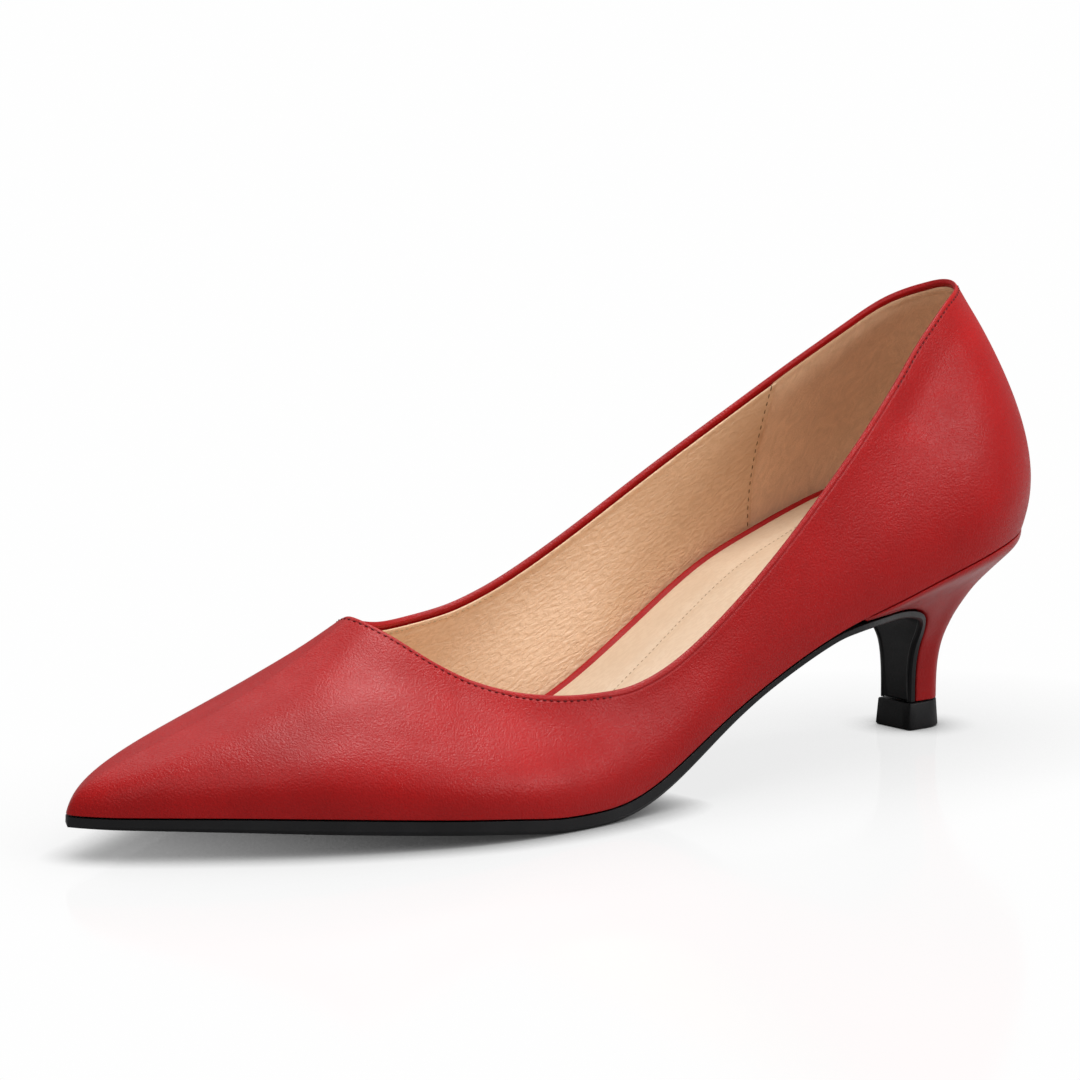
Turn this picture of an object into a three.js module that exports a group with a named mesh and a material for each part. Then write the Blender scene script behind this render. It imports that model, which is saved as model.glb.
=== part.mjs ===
// A woman's pump for the left foot, with a pointed toe, a low covered heel and a thin black sole.
// Millimetres. X runs forward from the back of the seat, Y to the wearer's left and Z up from the floor.
// Each table has a row for each section. Its lengths are shares of the named sizes below.
import * as THREE from 'three';
import { mergeVertices } from 'three/addons/utils/BufferGeometryUtils.js';

// Driving sizes of the last
const lastLength = 252.5;        // feather line, from the back of the seat to the tip of the toe
const ballWidth = 76;            // feather line, across the ball
const heelHeight = 46;           // floor to the feather line at the back of the seat
const toeSpring = 7;             // floor to the underside of the sole at the tip of the toe
const backHeight = 54;           // feather line to topline, at the back
const instepHeight = 37.5;       // feather line to topline, at the throat

// Opening of the upper
const collarSetback = 13.5;      // the topline's back stands this far in front of the seat's back
const throatPosition = 183;      // back of the seat to the throat
const collarRoundLength = 42;    // the topline closes at the back over this length
const throatRoundLength = 58;    // and at the throat over this one

// Thickness of each layer, and the gap that bonded pieces keep
const wallThickness = 1.8;       // leather, stiffener and lining together
const rimRise = 0.5;             // rounding of the folded top edge
const lastingMargin = 9;         // the upper's lower edge turned in under the insole
const lastingThickness = 1.2;
const seatInsoleHeight = 8.5;    // feather line to the insole's wrapped edge, at the padded seat
const foreInsoleHeight = 4.7;    // and under the forefoot
const insoleRimWidth = 2.2;
const sockRecess = 1.9;          // the sock lies this deep in the insole
const foreSoleThickness = 3;
const waistSoleThickness = 1.6;
const toeSoleThickness = 2.2;
const soleEdgeRounding = 0.7;
const soleUprightShare = 0.7;    // the sole's side stays upright over this share of its thickness
const bondGap = 0.3;

// Heel and its top piece
const seatLength = 63;           // back of the seat to the front edge of the heel's wings
const stemFront = 27;            // back of the seat to the breast at the top piece
const stemDepth = 8.6;           // along X, where the stem meets the top piece
const stemWidth = 10.2;          // across, at the same place
const topPieceHeight = 6;
const topPieceFlare = 0.6;       // the top piece grows by this all round, down to the floor
const topPieceStep = 0.2;        // and stands this far outside the stem at its top

// Feather line in plan: half widths as shares of the ball width
const outlineRows = [
  { at: 0.00, lateral: 0.372, medial: 0.342 },
  { at: 0.13, lateral: 0.372, medial: 0.342 },
  { at: 0.22, lateral: 0.375, medial: 0.318 },
  { at: 0.31, lateral: 0.382, medial: 0.262 },
  { at: 0.40, lateral: 0.414, medial: 0.203 },
  { at: 0.45, lateral: 0.444, medial: 0.190 },
  { at: 0.50, lateral: 0.474, medial: 0.228 },
  { at: 0.57, lateral: 0.511, medial: 0.350 },
  { at: 0.63, lateral: 0.526, medial: 0.445 },
  { at: 0.70, lateral: 0.504, medial: 0.497 },
  { at: 0.77, lateral: 0.433, medial: 0.460 },
  { at: 0.84, lateral: 0.330, medial: 0.380 },
  { at: 0.91, lateral: 0.189, medial: 0.272 },
  { at: 0.96, lateral: 0.069, medial: 0.183 },
  { at: 1.00, lateral: -0.030, medial: 0.136 },
];
const seatRoundShare = 0.13;     // the seat closes as an ellipse over this share of the length
const toeRoundShare = 0.03;      // and the toe over this one

// Underside of the sole: rise as a share of the heel height, spring as a share of the toe spring
const undersideRows = [
  { at: 0.000, rise: 1.000, spring: 0.000 },
  { at: 0.080, rise: 0.943, spring: 0.000 },
  { at: 0.160, rise: 0.832, spring: 0.000 },
  { at: 0.200, rise: 0.768, spring: 0.000 },
  { at: 0.270, rise: 0.668, spring: 0.000 },
  { at: 0.340, rise: 0.526, spring: 0.000 },
  { at: 0.380, rise: 0.435, spring: 0.000 },
  { at: 0.420, rise: 0.330, spring: 0.000 },
  { at: 0.460, rise: 0.211, spring: 0.000 },
  { at: 0.500, rise: 0.098, spring: 0.000 },
  { at: 0.530, rise: 0.036, spring: 0.000 },
  { at: 0.560, rise: 0.000, spring: 0.000 },
  { at: 0.620, rise: 0.000, spring: 0.000 },
  { at: 0.660, rise: 0.000, spring: 0.150 },
  { at: 0.700, rise: 0.000, spring: 0.290 },
  { at: 0.740, rise: 0.000, spring: 0.410 },
  { at: 0.820, rise: 0.000, spring: 0.640 },
  { at: 0.900, rise: 0.000, spring: 0.840 },
  { at: 1.000, rise: 0.000, spring: 1.000 },
];

// Thickness of the sole: how much of the waist's, forefoot's and toe's thickness counts at a station
const thicknessRows = [
  { at: 0.38, fore: 0, toe: 0 },
  { at: 0.52, fore: 1, toe: 0 },
  { at: 0.80, fore: 1, toe: 0 },
  { at: 1.00, fore: 1, toe: 1 },
];

// Height of the insole's edge: how much of the forefoot's height counts at a station
const insoleRows = [
  { at: 0.20, fore: 0.00 },
  { at: 0.28, fore: 0.18 },
  { at: 0.36, fore: 0.58 },
  { at: 0.43, fore: 0.88 },
  { at: 0.50, fore: 1.00 },
];

// Topline, by its share of the way from collar to throat. Heights are shares of the fall from the back
// of the collar to the throat, and half widths are shares of the ball width.
const toplineRows = [
  { at: 0.00, lateral: 1.000, medial: 1.000 },
  { at: 0.06, lateral: 0.951, medial: 0.912 },
  { at: 0.10, lateral: 0.883, medial: 0.832 },
  { at: 0.14, lateral: 0.804, medial: 0.753 },
  { at: 0.19, lateral: 0.686, medial: 0.656 },
  { at: 0.24, lateral: 0.573, medial: 0.562 },
  { at: 0.30, lateral: 0.429, medial: 0.463 },
  { at: 0.36, lateral: 0.292, medial: 0.368 },
  { at: 0.42, lateral: 0.155, medial: 0.272 },
  { at: 0.48, lateral: 0.022, medial: 0.175 },
  { at: 0.54, lateral: -0.097, medial: 0.081 },
  { at: 0.60, lateral: -0.204, medial: -0.007 },
  { at: 0.66, lateral: -0.279, medial: -0.086 },
  { at: 0.72, lateral: -0.314, medial: -0.137 },
  { at: 0.78, lateral: -0.315, medial: -0.155 },
  { at: 0.84, lateral: -0.295, medial: -0.168 },
  { at: 0.89, lateral: -0.250, medial: -0.148 },
  { at: 0.94, lateral: -0.160, medial: -0.126 },
  { at: 0.98, lateral: -0.054, medial: -0.067 },
  { at: 1.00, lateral: 0.000, medial: 0.000 },
];
const collarWidthRows = [
  { at: 0.00, lateral: 0.215, medial: 0.235 },
  { at: 0.12, lateral: 0.225, medial: 0.245 },
  { at: 0.20, lateral: 0.262, medial: 0.270 },
  { at: 0.28, lateral: 0.305, medial: 0.297 },
  { at: 0.42, lateral: 0.362, medial: 0.322 },
  { at: 0.58, lateral: 0.398, medial: 0.340 },
  { at: 0.74, lateral: 0.418, medial: 0.375 },
  { at: 0.86, lateral: 0.409, medial: 0.405 },
  { at: 1.00, lateral: 0.409, medial: 0.409 },
];

// Which share of the topline a station of the feather line is joined to by a section of the wall
const fanRows = [
  { at: 0.00, run: 0.000 },
  { at: 0.09, run: 0.065 },
  { at: 0.22, run: 0.245 },
  { at: 0.38, run: 0.472 },
  { at: 0.50, run: 0.637 },
  { at: 0.58, run: 0.725 },
  { at: 0.66, run: 0.803 },
  { at: 0.74, run: 0.866 },
  { at: 0.82, run: 0.916 },
  { at: 0.90, run: 0.958 },
  { at: 0.96, run: 0.983 },
  { at: 1.00, run: 1.000 },
];

// Sections of the wall: lean from the vertical at the bottom, on each side, and slope from the level
// at the top, in degrees, and how far each end's direction carries, as a share of the section's chord
const wallRows = [
  { at: 0.00, lean: 26, medialLean: 26, slope: 57, carry: 0.305, hold: 0.35 },
  { at: 0.13, lean: 16, medialLean: 16, slope: 72, carry: 0.340, hold: 0.34 },
  { at: 0.30, lean: 8, medialLean: 18, slope: 83, carry: 0.330, hold: 0.33 },
  { at: 0.42, lean: 9, medialLean: 26, slope: 83, carry: 0.340, hold: 0.33 },
  { at: 0.52, lean: 10, medialLean: 20, slope: 82, carry: 0.350, hold: 0.33 },
  { at: 0.63, lean: 14, medialLean: 13, slope: 75, carry: 0.370, hold: 0.33 },
  { at: 0.75, lean: 12, medialLean: 11, slope: 58, carry: 0.370, hold: 0.35 },
  { at: 0.85, lean: 9, medialLean: 9, slope: 42, carry: 0.300, hold: 0.38 },
  { at: 0.93, lean: 6, medialLean: 6, slope: 34, carry: 0.185, hold: 0.43 },
  { at: 1.00, lean: 0, medialLean: 0, slope: 32, carry: 0.142, hold: 0.51 },
];

// Sections of the heel, from its seat down to the top piece: drop and inset at the back and at the
// breast, as shares of the way, and width as a share of the way from the seat's to the stem's
const heelRows = [
  { backDrop: 0.000, backInset: 0.000, breastDrop: 0.000, breastInset: 0.000, narrowing: 0.000 },
  { backDrop: 0.060, backInset: 0.005, breastDrop: 0.030, breastInset: 0.030, narrowing: 0.018 },
  { backDrop: 0.140, backInset: 0.105, breastDrop: 0.050, breastInset: 0.270, narrowing: 0.200 },
  { backDrop: 0.260, backInset: 0.340, breastDrop: 0.070, breastInset: 0.520, narrowing: 0.410 },
  { backDrop: 0.370, backInset: 0.600, breastDrop: 0.110, breastInset: 0.740, narrowing: 0.570 },
  { backDrop: 0.460, backInset: 0.760, breastDrop: 0.180, breastInset: 0.890, narrowing: 0.675 },
  { backDrop: 0.540, backInset: 0.860, breastDrop: 0.285, breastInset: 0.960, narrowing: 0.785 },
  { backDrop: 0.620, backInset: 0.925, breastDrop: 0.400, breastInset: 0.990, narrowing: 0.868 },
  { backDrop: 0.700, backInset: 0.965, breastDrop: 0.500, breastInset: 1.000, narrowing: 0.940 },
  { backDrop: 0.800, backInset: 0.990, breastDrop: 0.650, breastInset: 1.000, narrowing: 0.985 },
  { backDrop: 0.900, backInset: 1.000, breastDrop: 0.820, breastInset: 1.000, narrowing: 1.000 },
  { backDrop: 1.000, backInset: 1.000, breastDrop: 1.000, breastInset: 1.000, narrowing: 1.000 },
];

// How finely the curved surfaces are divided
const stationsPerSide = 48;
const wallSections = 9;

const clamp = THREE.MathUtils.clamp;
const lerp = THREE.MathUtils.lerp;
const radians = THREE.MathUtils.degToRad;
const up = new THREE.Vector3(0, 0, 1);
const point = (x, y, z) => new THREE.Vector3(x, y, z);

// Slope of a smooth curve at an inner row, zero where the rows turn, so that it never overshoots
function innerSlope(before, after, widthBefore, widthAfter) {
  if (before * after <= 0) {
    return 0;
  }
  const weightBefore = 2 * widthAfter + widthBefore;
  const weightAfter = widthAfter + 2 * widthBefore;
  return (weightBefore + weightAfter) / (weightBefore / before + weightAfter / after);
}

// A smooth function of the station through one column of a table
function column(rows, name) {
  const last = rows.length - 1;
  const width = rows.slice(1).map((row, i) => row.at - rows[i].at);
  const rate = rows.slice(1).map((row, i) => (row[name] - rows[i][name]) / width[i]);
  const slope = rows.map((row, i) => {
    if (i === 0 || i === last) {
      return rate[Math.min(i, last - 1)];
    }
    return innerSlope(rate[i - 1], rate[i], width[i - 1], width[i]);
  });
  return (at) => {
    const station = clamp(at, rows[0].at, rows[last].at);
    const i = Math.min(rows.findLastIndex((row) => row.at <= station), last - 1);
    const t = (station - rows[i].at) / width[i];
    const bend = (1 - t) * (slope[i] - rate[i]) - t * (slope[i + 1] - rate[i]);
    return lerp(rows[i][name], rows[i + 1][name], t) + width[i] * t * (1 - t) * bend;
  };
}

// Quarter-round closing of an end, from 1 inside it to 0 at its tip
const roundEnd = (share) => Math.sqrt(Math.max(0, 1 - clamp(share, 0, 1) ** 2));

// Feather line, where the wall meets the bottom
const outlineSide = { 1: column(outlineRows, 'lateral'), '-1': column(outlineRows, 'medial') };
const rise = column(undersideRows, 'rise');
const spring = column(undersideRows, 'spring');
const foreShare = column(thicknessRows, 'fore');
const toeShare = column(thicknessRows, 'toe');

const soleThickness = (at) => lerp(
  lerp(waistSoleThickness, foreSoleThickness, foreShare(at)),
  toeSoleThickness,
  toeShare(at),
);

function featherHeight(at) {
  const seatUnderside = heelHeight - waistSoleThickness - bondGap;
  return seatUnderside * rise(at) + toeSpring * spring(at) + soleThickness(at) + bondGap;
}

function featherSide(side, at) {
  const centre = (outlineSide[1](at) - outlineSide[-1](at)) / 2;
  const half = (outlineSide[1](at) + outlineSide[-1](at)) / 2;
  const closing = roundEnd(1 - at / seatRoundShare) * roundEnd(1 - (1 - at) / toeRoundShare);
  const fixedCentre = at < seatRoundShare ? centre * roundEnd(1 - at / seatRoundShare) : centre;
  return ballWidth * (fixedCentre + side * half * closing);
}

const feather = (side, at) => point(lastLength * at, featherSide(side, at), featherHeight(at));

// Topline, around the opening
const toplineFall = {
  1: column(toplineRows, 'lateral'),
  '-1': column(toplineRows, 'medial'),
};
const collarWidth = {
  1: column(collarWidthRows, 'lateral'),
  '-1': column(collarWidthRows, 'medial'),
};
const throatFlatness = 2.2;      // how long the throat's sides stay apart before they close
const throatRoundness = 0.6;     // below 0.5 is squarer, above it more pointed

const collarTop = featherHeight(collarSetback / lastLength) + backHeight;
const throatTop = featherHeight(throatPosition / lastLength) + instepHeight;

function topline(side, run) {
  const opening = throatPosition - collarSetback;
  const x = collarSetback + opening * run;
  const collarShare = 1 - run * opening / collarRoundLength;
  const throatShare = clamp(1 - (1 - run) * opening / throatRoundLength, 0, 1);
  const closing = roundEnd(collarShare) * (1 - throatShare ** throatFlatness) ** throatRoundness;
  const y = side * ballWidth * collarWidth[side](run) * closing;
  return point(x, y, lerp(throatTop, collarTop, toplineFall[side](run)));
}

// Outward direction, level with the floor, of a line that runs round the shoe
function outward(line, side, at) {
  const step = 0.002;
  const ahead = line(side, Math.min(at + step, 1));
  const behind = line(side, Math.max(at - step, 0));
  if (at + step > 1) {
    return point(1, 0, 0);
  }
  if (at - step < 0) {
    return point(-1, 0, 0);
  }
  return point(-side * (ahead.y - behind.y), side * (ahead.x - behind.x), 0).normalize();
}

// Outer face of the wall
const fan = column(fanRows, 'run');
const lean = { 1: column(wallRows, 'lean'), '-1': column(wallRows, 'medialLean') };
const slope = column(wallRows, 'slope');
const carry = column(wallRows, 'carry');
const hold = column(wallRows, 'hold');

function wallSection(side, at) {
  const bottom = feather(side, at);
  const top = topline(side, fan(at));
  const chord = bottom.distanceTo(top);
  const leaning = radians(lean[side](at));
  const falling = radians(slope(at));
  const lower = bottom.clone()
    .addScaledVector(outward(feather, side, at), Math.sin(leaning) * carry(at) * chord)
    .addScaledVector(up, Math.cos(leaning) * carry(at) * chord);
  const upper = top.clone()
    .addScaledVector(outward(topline, side, fan(at)), Math.cos(falling) * hold(at) * chord)
    .addScaledVector(up, -Math.sin(falling) * hold(at) * chord);
  return new THREE.CubicBezierCurve3(bottom, lower, upper, top);
}

// Stations crowd together at both ends, where the outline turns
const stationAt = (index) => (1 - Math.cos(Math.PI * index / stationsPerSide)) / 2;
const stations = Array.from({ length: stationsPerSide + 1 }, (_, index) => stationAt(index));
const sides = [1, -1];
const sections = {};
for (const side of sides) {
  sections[side] = stations.map((at) => wallSection(side, at));
}

// Outward direction of the wall's face at a station and a share of its section
function wallNormal(side, index, share) {
  const along = sections[side][index].getTangent(clamp(share, 0.001, 0.999));
  if (index === 0 || index === stationsPerSide) {
    const forward = index === 0 ? -1 : 1;
    return point(forward * along.z, 0, -forward * along.x).normalize();
  }
  const ahead = sections[side][index + 1].getPoint(share);
  const behind = sections[side][index - 1].getPoint(share);
  return ahead.sub(behind).cross(along).multiplyScalar(-side).normalize();
}

// Point at a depth under the wall's face
function inWall(side, index, share, depth) {
  const face = sections[side][index].getPoint(share);
  return face.addScaledVector(wallNormal(side, index, share), -depth);
}

// Heights above the feather line, by the station
const flat = (height) => () => height;
const insoleShare = column(insoleRows, 'fore');
const insoleRim = (at) => lerp(seatInsoleHeight, foreInsoleHeight, insoleShare(at));
const shifted = (height, step) => (at) => height(at) + step;

// Share of a section at which the place under the wall's face stands at a height above the bottom
function shareAtHeight(side, index, height, depth) {
  let low = 0;
  let high = 0.7;
  for (let i = 0; i < 30; i++) {
    const middle = (low + high) / 2;
    const place = inWall(side, index, middle, depth);
    const station = place.x / lastLength;
    if (place.z < featherHeight(station) + height(station)) {
      low = middle;
    } else {
      high = middle;
    }
  }
  return low;
}

// Moves a place towards the spine of the bottom, and stands it at a height above the bottom
const spineBack = 0.12;
const spineFront = 0.93;
const spineReach = 0.6;          // never further than this share of the way
function inset(place, distance, height) {
  const station = clamp(place.x / lastLength, spineBack, spineFront);
  const spineY = (featherSide(1, station) + featherSide(-1, station)) / 2;
  const spine = point(lastLength * station, spineY, place.z);
  const reach = place.distanceTo(spine);
  const moved = place.clone().lerp(spine, Math.min(distance / reach, spineReach));
  moved.z = featherHeight(moved.x / lastLength) + height(moved.x / lastLength);
  return moved;
}

// A ring runs up the lateral side and back down the medial one
const ring = (place) => ({
  lateral: stations.map((at, index) => place(1, index, at)),
  medial: stations.map((at, index) => place(-1, index, at)),
});

// Closed solid from a stack of rings: it ends in two caps, or joins its last ring to its first
function solidOf(rings, endless) {
  const points = [];
  const faces = [];
  const loops = rings.map(({ lateral, medial }) => {
    const loop = [...lateral, ...[...medial].reverse()];
    const start = points.length;
    points.push(...loop);
    return loop.map((_, index) => start + index);
  });
  const quad = (a, b, c, d) => faces.push([a, b, c], [a, c, d]);
  const length = loops[0].length;
  const bands = endless ? loops.length : loops.length - 1;
  for (let band = 0; band < bands; band++) {
    const near = loops[band];
    const far = loops[(band + 1) % loops.length];
    for (let index = 0; index < length; index++) {
      const next = (index + 1) % length;
      quad(near[index], near[next], far[next], far[index]);
    }
  }
  const cap = (loop, flipped) => {
    for (let index = 0; index < length / 2 - 1; index++) {
      const across = length - 1 - index;
      const corners = [loop[index], loop[index + 1], loop[across - 1], loop[across]];
      quad(...(flipped ? corners : corners.reverse()));
    }
  };
  if (!endless) {
    cap(loops[0], false);
    cap(loops.at(-1), true);
  }
  return closedGeometry(points, faces);
}

// Merges the points that coincide, drops the faces that this empties and turns the rest outwards
function closedGeometry(points, faces) {
  const geometry = new THREE.BufferGeometry().setFromPoints(points);
  geometry.setIndex(faces.flat());
  const merged = mergeVertices(geometry, 1e-3);
  const index = merged.getIndex().array;
  const position = merged.getAttribute('position');
  const corner = (i) => new THREE.Vector3().fromBufferAttribute(position, i);
  const kept = [];
  let volume = 0;
  for (let i = 0; i < index.length; i += 3) {
    const [a, b, c] = [index[i], index[i + 1], index[i + 2]];
    if (a !== b && b !== c && c !== a) {
      kept.push([a, b, c]);
      volume += corner(a).dot(corner(b).cross(corner(c)));
    }
  }
  merged.setIndex(kept.map((face) => (volume < 0 ? face.reverse() : face)).flat());
  merged.computeVertexNormals();
  return merged;
}

// Ring that keeps a gap to the wall's inner face, at a height above the feather line
const beside = (height, gap) => ring((side, i) => {
  const depth = wallThickness + gap;
  return inWall(side, i, shareAtHeight(side, i, height, depth), depth);
});

// Upper: outer face, folded rim, inner face and the margin turned in under the insole
const innerFoot = flat(lastingThickness + wallThickness / 2);
const innerMiddle = (at) => (innerFoot(at) + insoleRim(at)) / 2;
function upperGeometry() {
  const shares = Array.from({ length: wallSections + 1 }, (_, i) => i / wallSections);
  const margin = (distance, height) => ring((side, i, at) => (
    inset(feather(side, at), distance, flat(height))
  ));
  const rim = ring((side, i) => inWall(side, i, 1, wallThickness / 2).addScaledVector(up, rimRise));
  return solidOf([
    ...shares.map((share) => ring((side, i) => inWall(side, i, share, 0))),
    rim,
    ...shares.map((share) => ring((side, i) => {
      const lowest = shareAtHeight(side, i, insoleRim, wallThickness);
      return inWall(side, i, lerp(1, lowest, share), wallThickness);
    })),
    beside(innerMiddle, 0),
    beside(innerFoot, 0),
    margin(wallThickness * 1.5, lastingThickness),
    margin(lastingMargin, lastingThickness),
    margin(lastingMargin, 0),
  ], true);
}

// The same ring, brought in from there and laid at another height
const within = ({ lateral, medial }, distance, height) => ({
  lateral: lateral.map((place) => inset(place, distance, height)),
  medial: medial.map((place) => inset(place, distance, height)),
});

// Insole: a board wrapped at its edge, with a recess for the sock
const insoleFoot = beside(shifted(innerFoot, bondGap), bondGap);
const insoleEdge = beside(shifted(insoleRim, -bondGap), bondGap);
function insoleGeometry() {
  return solidOf([
    within(insoleFoot, wallThickness, flat(lastingThickness + bondGap)),
    insoleFoot,
    beside(innerMiddle, bondGap),
    insoleEdge,
    within(insoleEdge, insoleRimWidth / 4, insoleRim),
    within(insoleEdge, insoleRimWidth * 3 / 4, insoleRim),
    within(insoleEdge, insoleRimWidth, shifted(insoleRim, -sockRecess)),
  ], false);
}

// Sock: the padded lining that lies in the insole's recess
function sockGeometry() {
  const clearance = insoleRimWidth + bondGap;
  return solidOf([
    within(insoleEdge, clearance, shifted(insoleRim, bondGap - sockRecess)),
    within(insoleEdge, clearance, shifted(insoleRim, -bondGap)),
    within(insoleEdge, clearance + bondGap, insoleRim),
  ], false);
}

// Plan of the heel from the middle of its back to the middle of its breast: an arc, a straight side,
// a small rounded corner and the straight breast. Reach is the share along X, spread the share across.
const arcSteps = 8;
const arcShare = seatRoundShare * lastLength / seatLength;
const cornerShare = 0.04;
const heelPlan = [];
for (let step = 0; step < arcSteps; step++) {
  const angle = Math.PI / 2 * step / arcSteps;
  heelPlan.push({ reach: arcShare * (1 - Math.cos(angle)), spread: Math.sin(angle), onSide: true });
}
for (const share of [0, 0.33, 0.67, 1]) {
  heelPlan.push({ reach: lerp(arcShare, 1 - cornerShare, share), spread: 1, onSide: true });
}
for (const spread of [1 - cornerShare, 0.5, 0]) {
  heelPlan.push({ reach: 1, spread, onSide: false });
}

const stemBack = stemFront - stemDepth;
const stemTop = topPieceHeight + bondGap;
const seatHeight = (x) => featherHeight(x / lastLength) - bondGap;

// Place of the heel's breast at a section, along the shoe and above the floor
const breastAt = (row) => ({
  x: lerp(seatLength, stemFront, row.breastInset),
  z: lerp(seatHeight(seatLength), stemTop, row.breastDrop),
});

// Place across the heel at a section, from the place across the seat and the share of the stem's width
const narrowed = (seatSide, side, spread, row) => (
  lerp(seatSide, side * spread * stemWidth / 2, row.narrowing)
);

function heelPoint(row, side, { reach, spread, onSide }) {
  const seatX = seatLength * reach;
  const seatSide = featherSide(side, seatX / lastLength) * (onSide ? 1 : spread);
  const breast = breastAt(row);
  const drop = lerp(row.backDrop, row.breastDrop, reach);
  return point(
    lerp(stemBack * row.backInset, breast.x, reach),
    narrowed(seatSide, side, spread, row),
    lerp(seatHeight(seatX), stemTop, drop),
  );
}

function heelGeometry() {
  return solidOf(heelRows.map((row) => ({
    lateral: heelPlan.map((place) => heelPoint(row, 1, place)),
    medial: heelPlan.map((place) => heelPoint(row, -1, place)),
  })), false);
}

// Top piece: the wear pad under the stem and under the end of the sole's flap
function topPieceGeometry() {
  const bevel = 0.4;
  const front = stemFront + bondGap + waistSoleThickness;
  const layer = (height, grown) => {
    const place = (side) => ({ reach, spread }) => point(
      lerp(stemBack - grown, front + grown, reach),
      side * (stemWidth / 2 + grown) * spread,
      height,
    );
    return { lateral: heelPlan.map(place(1)), medial: heelPlan.map(place(-1)) };
  };
  return solidOf([
    layer(topPieceHeight, topPieceStep),
    layer(bevel, topPieceFlare),
    layer(0, topPieceFlare - bevel),
  ], false);
}

// Sole: forefoot, waist and the flap that lines the heel's breast, as sections from the toe to the
// top piece. Each section has the place that it is glued to and its half width on each side.
const flapShare = 0.98;          // the flap leaves the heel's corners bare
const flapLead = 2;              // the sole's full width ends this far in front of the heel

function soleSections() {
  const found = [];
  const free = stations.filter((at) => at * lastLength > seatLength + flapLead);
  for (const at of free.reverse()) {
    found.push({
      x: lastLength * at,
      z: featherHeight(at),
      lateral: featherSide(1, at),
      medial: featherSide(-1, at),
      thickness: soleThickness(at),
    });
  }
  for (const row of heelRows.slice(1)) {
    const { x, z } = breastAt(row);
    const half = (side) => {
      const seatSide = featherSide(side, seatLength / lastLength);
      return narrowed(seatSide, side, 1, row) * flapShare;
    };
    found.push({ x, z, lateral: half(1), medial: half(-1), thickness: waistSoleThickness });
  }
  return found;
}

function soleGeometry() {
  const found = soleSections();
  const normals = found.map((_, index) => {
    const before = found[Math.max(index - 1, 0)];
    const after = found[Math.min(index + 1, found.length - 1)];
    return point(before.z - after.z, 0, after.x - before.x).normalize();
  });
  normals[normals.length - 1].set(1, 0, 0);
  const layer = (depthShare, rounding) => {
    const place = (name) => (section, index) => {
      const depth = bondGap + section.thickness * depthShare;
      const middle = (section.lateral + section.medial) / 2;
      const half = section[name] - middle;
      const kept = Math.sign(half) * Math.max(Math.abs(half) - rounding, 0);
      return point(section.x, middle + kept, section.z).addScaledVector(normals[index], depth);
    };
    return { lateral: found.map(place('lateral')), medial: found.map(place('medial')) };
  };
  return solidOf([layer(0, 0), layer(soleUprightShare, 0), layer(1, soleEdgeRounding)], false);
}

const leather = (colour, roughness) => new THREE.MeshStandardMaterial({ color: colour, roughness });

const pieces = {
  upper: [upperGeometry(), leather('#a81520', 0.42)],
  insole: [insoleGeometry(), leather('#9c1a20', 0.5)],
  sock: [sockGeometry(), leather('#e3bf94', 0.65)],
  outsole: [soleGeometry(), leather('#15151a', 0.45)],
  heel: [heelGeometry(), leather('#a31520', 0.38)],
  top_piece: [topPieceGeometry(), leather('#131316', 0.55)],
};

const shoe = new THREE.Group();
for (const [name, [geometry, material]] of Object.entries(pieces)) {
  const mesh = new THREE.Mesh(geometry, material);
  mesh.name = name;
  shoe.add(mesh);
}

// The origin is the middle of the shoe's box, on the floor
const box = new THREE.Box3().setFromObject(shoe);
const middle = box.getCenter(new THREE.Vector3());
shoe.position.set(-middle.x, -middle.y, -box.min.z);

export default shoe;
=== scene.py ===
"""A woman's pump with a pointed toe and a low covered heel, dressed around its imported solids.

Lengths are metres. X runs forward from heel to toe, Y to the wearer's left and Z up from the floor.
"""

import math
from contextlib import contextmanager

import bmesh
import bpy
from bpy.props import FloatProperty, FloatVectorProperty, PointerProperty
from mathutils import Matrix, Vector
from mathutils.bvhtree import BVHTree
from mathutils.kdtree import KDTree


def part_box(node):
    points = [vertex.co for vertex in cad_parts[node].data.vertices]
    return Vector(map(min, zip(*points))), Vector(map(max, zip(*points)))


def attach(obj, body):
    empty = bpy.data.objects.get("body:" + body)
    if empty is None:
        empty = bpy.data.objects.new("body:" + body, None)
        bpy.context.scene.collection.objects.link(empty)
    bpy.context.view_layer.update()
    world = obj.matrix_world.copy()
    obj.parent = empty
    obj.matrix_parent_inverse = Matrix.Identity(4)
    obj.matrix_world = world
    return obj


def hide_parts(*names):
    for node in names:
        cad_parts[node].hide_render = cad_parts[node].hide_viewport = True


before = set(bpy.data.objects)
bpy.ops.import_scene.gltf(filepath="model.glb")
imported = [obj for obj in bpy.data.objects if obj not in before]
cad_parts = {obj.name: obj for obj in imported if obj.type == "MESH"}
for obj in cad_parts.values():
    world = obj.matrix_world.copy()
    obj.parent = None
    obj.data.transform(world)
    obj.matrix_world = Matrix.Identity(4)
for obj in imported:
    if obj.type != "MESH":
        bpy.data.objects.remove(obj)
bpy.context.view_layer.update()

bl_info = {
    "name": "Pointed Pump",
    "version": (1, 0, 0),
    "blender": (4, 5, 0),
    "location": "View3D > Sidebar > Pump",
    "description": "Dresses a pointed pump with a low covered heel in leather, lining and stitches",
    "category": "Object",
}

MM = 0.001
BODY = "root"
UPPER_LOW, UPPER_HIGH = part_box("upper")
SHOE_LENGTH = UPPER_HIGH.x - UPPER_LOW.x
WALL = 1.8 * MM

# Rings of the upper's solid, counted from the rim down the inside, under the insole and up the outside
RIM, INNER_TOP, SECOND_INNER = 0, 1, 2
INNER_FOOT, FOOT = 12, 16
OUTER_TOP, SECOND_OUTER = -1, -2
COLUMN_COUNT = 96

# Rings added below the inner top, for the fold of the upper's leather and for a lining's top edge
FOLD_CUTS = 4
LINING_CUTS = 5

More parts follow.
